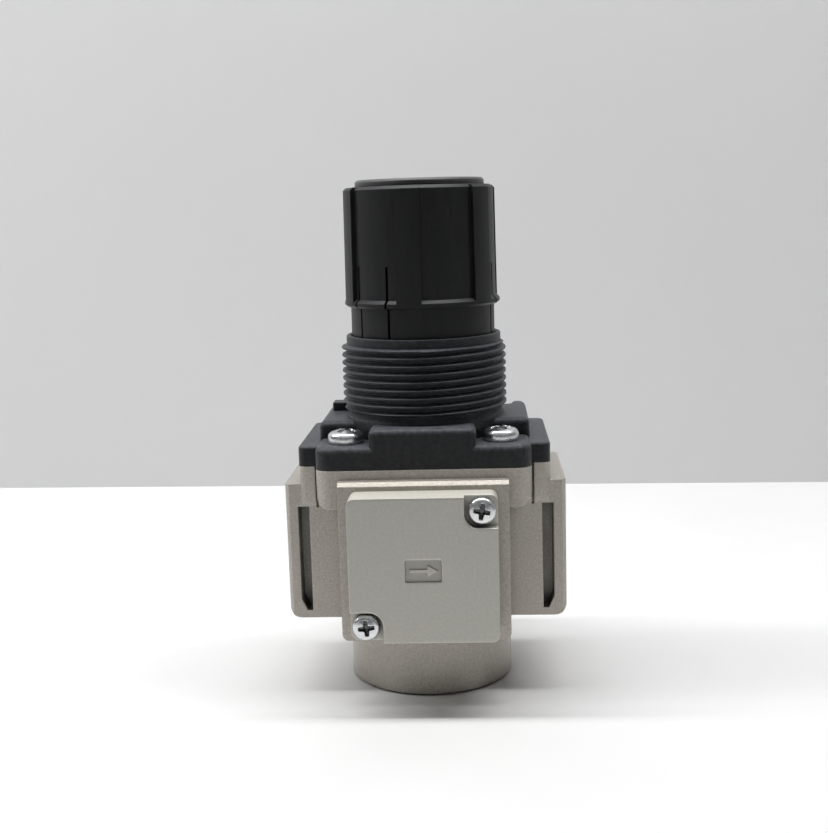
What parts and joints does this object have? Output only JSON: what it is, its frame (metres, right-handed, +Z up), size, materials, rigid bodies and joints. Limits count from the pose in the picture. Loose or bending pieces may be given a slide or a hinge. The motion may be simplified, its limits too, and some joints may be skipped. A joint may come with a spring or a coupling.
{
  "type": "air pressure regulator",
  "caption": "Modular air pressure regulator with a raised locking knob, threaded panel collar, side air ports and covered gauge pads front and back.",
  "frame": {"origin": "bottom centre of the whole part, on the axis of the adjusting knob and the valve", "axes": "+Z up from the round base to the knob, -Y towards the front cover, +X towards the outlet port"},
  "size_m": [0.053, 0.0536, 0.0977],
  "materials": {
    "body_paint": "warm grey metallic paint on a die casting",
    "cover_paint": "grey metallic paint, slightly smoother than the body",
    "bonnet_plastic": "matte charcoal, finely grained",
    "knob_plastic": "near black, low sheen",
    "cap_plastic": "near black, satin",
    "indicator_red": "dull red",
    "screw_zinc": "bright zinc plating",
    "spindle_steel": "turned steel",
    "spring_steel": "drawn spring wire",
    "brass": "turned brass",
    "plate_aluminium": "turned aluminium",
    "seal_rubber": "moulded rubber"
  },
  "bodies": {
    "housing": {"body": "body_paint", "bonnet": "bonnet_plastic", "bonnet_screws": "screw_zinc", "front_cover": "cover_paint", "front_cover_screws": "screw_zinc", "front_cover_seal": "seal_rubber", "rear_cover": "cover_paint", "rear_cover_screws": "screw_zinc", "rear_cover_seal": "seal_rubber", "indicator_ring": "indicator_red", "thrust_washer": "brass", "diaphragm": "seal_rubber", "valve_seat": "brass", "valve_spring": "spring_steel", "valve_guide": "bonnet_plastic", "valve_guide_oring": "seal_rubber", "valve_stem_oring": "seal_rubber", "adjusting_spring": "spring_steel"},
    "spindle": {"adjusting_screw": "spindle_steel", "retaining_clip": "spindle_steel"},
    "knob_unit": {"knob": "knob_plastic", "knob_cap": "cap_plastic"},
    "nut_unit": {"adjusting_nut": "brass"},
    "diaphragm_unit": {"diaphragm_plate": "plate_aluminium", "relief_seat": "brass"},
    "valve_unit": {"valve_poppet": "plate_aluminium", "valve_seal": "seal_rubber"}
  },
  "joints": [
    {"name": "pressure_adjust", "type": "hinge", "parent": "housing", "child": "spindle", "pos_m": [0, 0, 0.06], "axis": [0, 0, -1], "range_deg": [0, 1890.1]},
    {"name": "knob_lock", "type": "slide", "parent": "spindle", "child": "knob_unit", "axis": [0, 0, -1], "range_m": [0, 0.0055]},
    {"name": "nut_travel", "type": "slide", "parent": "housing", "child": "nut_unit", "axis": [0, 0, -1], "range_m": [0, 0.00656], "deforming": ["adjusting_spring"]},
    {"name": "diaphragm_lift", "type": "slide", "parent": "housing", "child": "diaphragm_unit", "axis": [0, 0, -1], "range_m": [0, 0.0012], "deforming": ["diaphragm"]},
    {"name": "valve_lift", "type": "slide", "parent": "housing", "child": "valve_unit", "axis": [0, 0, -1], "range_m": [0, 0.0012], "deforming": ["valve_spring"]}
  ],
  "couplings": [
    {"joint": "pressure_adjust", "follows": "nut_travel", "rad_per_m": 5026.5},
    {"joint": "valve_lift", "follows": "diaphragm_lift", "ratio": 1}
  ]
}
